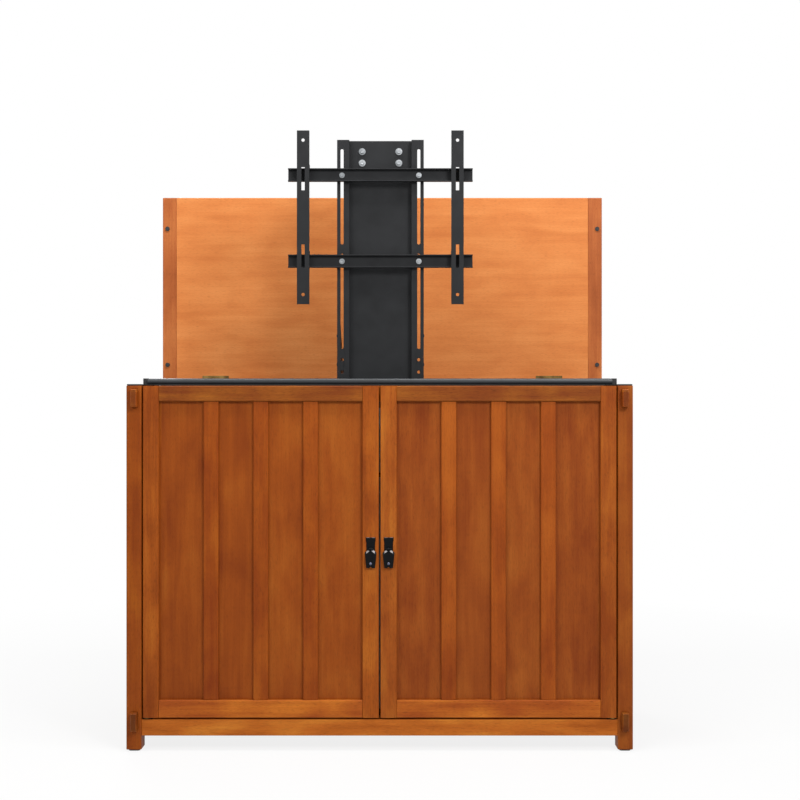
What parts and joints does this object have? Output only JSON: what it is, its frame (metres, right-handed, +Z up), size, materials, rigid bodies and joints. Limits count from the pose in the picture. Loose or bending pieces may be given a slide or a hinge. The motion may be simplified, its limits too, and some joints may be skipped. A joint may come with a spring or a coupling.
{
  "type": "television lift cabinet",
  "caption": "Mission-style hardwood cabinet with slatted doors and a hinged lid, and a telescoping lift column inside that raises a television bracket and an equipment deck out of its top.",
  "frame": {"origin": "on the floor, under the middle of the object's box at rest: the lift up, the lid standing open behind it and the doors shut", "axes": "+X to the right seen from the front, +Y to the back, +Z up; the doors face -Y"},
  "size_m": [1.27, 0.58, 1.578],
  "materials": {
    "stained_oak": "brown mission stain under satin lacquer",
    "oak_veneer": "veneered panel with the same stain and satin lacquer",
    "inner_plywood": "stained plywood, matt",
    "black_rubber": "matt black",
    "black_nylon": "matt black",
    "dull_brass": "dull antique",
    "black_iron": "satin black",
    "black_steel": "black powder coat",
    "plain_steel": "zinc plated",
    "column_aluminium": "silver anodised",
    "motor_paint": "satin black",
    "control_plastic": "fine texture, black",
    "deck_laminate": "black laminate, semi-gloss"
  },
  "bodies": {
    "cabinet": {"back_panel": "inner_plywood", "base_plate": "black_steel", "case_hinge_leaves": "dull_brass", "control_box": "control_plastic", "door_catch": "black_nylon", "door_pivot_plates": "dull_brass", "floor_board": "inner_plywood", "foot_glides": "black_nylon", "front_bottom_rail": "stained_oak", "front_left_post": "stained_oak", "front_right_post": "stained_oak", "front_top_rail": "stained_oak", "gear_motor": "motor_paint", "left_side_rails": "stained_oak", "outer_column": "column_aluminium", "outer_guide": "black_nylon", "post_pads": "black_rubber", "rear_left_post": "stained_oak", "rear_rails": "stained_oak", "rear_right_post": "stained_oak", "right_side_rails": "stained_oak", "screw_bearing": "plain_steel", "side_panels": "oak_veneer", "side_slats": "stained_oak"},
    "left_door": {"left_door_stiles": "stained_oak", "left_door_rails": "stained_oak", "left_door_panel": "oak_veneer", "left_door_slats": "stained_oak", "left_door_fittings": "dull_brass", "left_pull_plate": "black_iron"},
    "right_door": {"right_door_stiles": "stained_oak", "right_door_rails": "stained_oak", "right_door_panel": "oak_veneer", "right_door_slats": "stained_oak", "right_door_fittings": "dull_brass", "right_pull_plate": "black_iron"},
    "left_pendant": {"left_pull_pendant": "black_iron"},
    "right_pendant": {"right_pull_pendant": "black_iron"},
    "middle_stage": {"middle_column": "column_aluminium", "middle_guide": "black_nylon", "middle_glide_ring": "black_nylon", "drive_nut": "black_nylon"},
    "mast": {"inner_column": "column_aluminium", "inner_glide_ring": "black_nylon", "mast_head": "black_steel", "mast_plate": "black_steel", "deck_brackets": "black_steel", "deck": "deck_laminate", "deck_bumpers": "black_rubber", "vesa_rails": "black_steel", "vesa_arms": "black_steel"},
    "lid": {"lid_panel": "oak_veneer", "lid_ends": "stained_oak", "lid_hinge_leaves": "dull_brass", "lid_bumpers": "black_rubber"},
    "screw": {"lead_screw": "plain_steel"}
  },
  "joints": [
    {"name": "left_door_swing", "type": "hinge", "parent": "cabinet", "child": "left_door", "pos_m": [-0.585, -0.263, 0.5], "axis": [0, 0, -1], "range_deg": [0, 110]},
    {"name": "right_door_swing", "type": "hinge", "parent": "cabinet", "child": "right_door", "pos_m": [0.585, -0.263, 0.5], "axis": [0, 0, 1], "range_deg": [0, 110]},
    {"name": "left_pull_swing", "type": "hinge", "parent": "left_door", "child": "left_pendant", "pos_m": [-0.0225, -0.276, 0.506], "axis": [-1, 0, 0], "range_deg": [0, 80]},
    {"name": "right_pull_swing", "type": "hinge", "parent": "right_door", "child": "right_pendant", "pos_m": [0.0225, -0.276, 0.506], "axis": [-1, 0, 0], "range_deg": [0, 80]},
    {"name": "mast_lift", "type": "slide", "parent": "cabinet", "child": "mast", "axis": [0, 0, 1], "range_m": [-0.84, 0]},
    {"name": "stage_lift", "type": "slide", "parent": "cabinet", "child": "middle_stage", "axis": [0, 0, 1], "range_m": [-0.42, 0]},
    {"name": "lid_fold", "type": "hinge", "parent": "cabinet", "child": "lid", "pos_m": [0, 0.266, 0.918], "axis": [1, 0, 0], "range_deg": [0, 90]},
    {"name": "screw_spin", "type": "hinge", "parent": "cabinet", "child": "screw", "pos_m": [0, -0.039, 0.3], "axis": [0, 0, 1], "continuous": true}
  ],
  "couplings": [
    {"joint": "stage_lift", "follows": "mast_lift", "ratio": 0.5},
    {"joint": "lid_fold", "follows": "mast_lift", "rad_per_m": -1.8695},
    {"joint": "screw_spin", "follows": "mast_lift", "rad_per_m": -196.35}
  ]
}
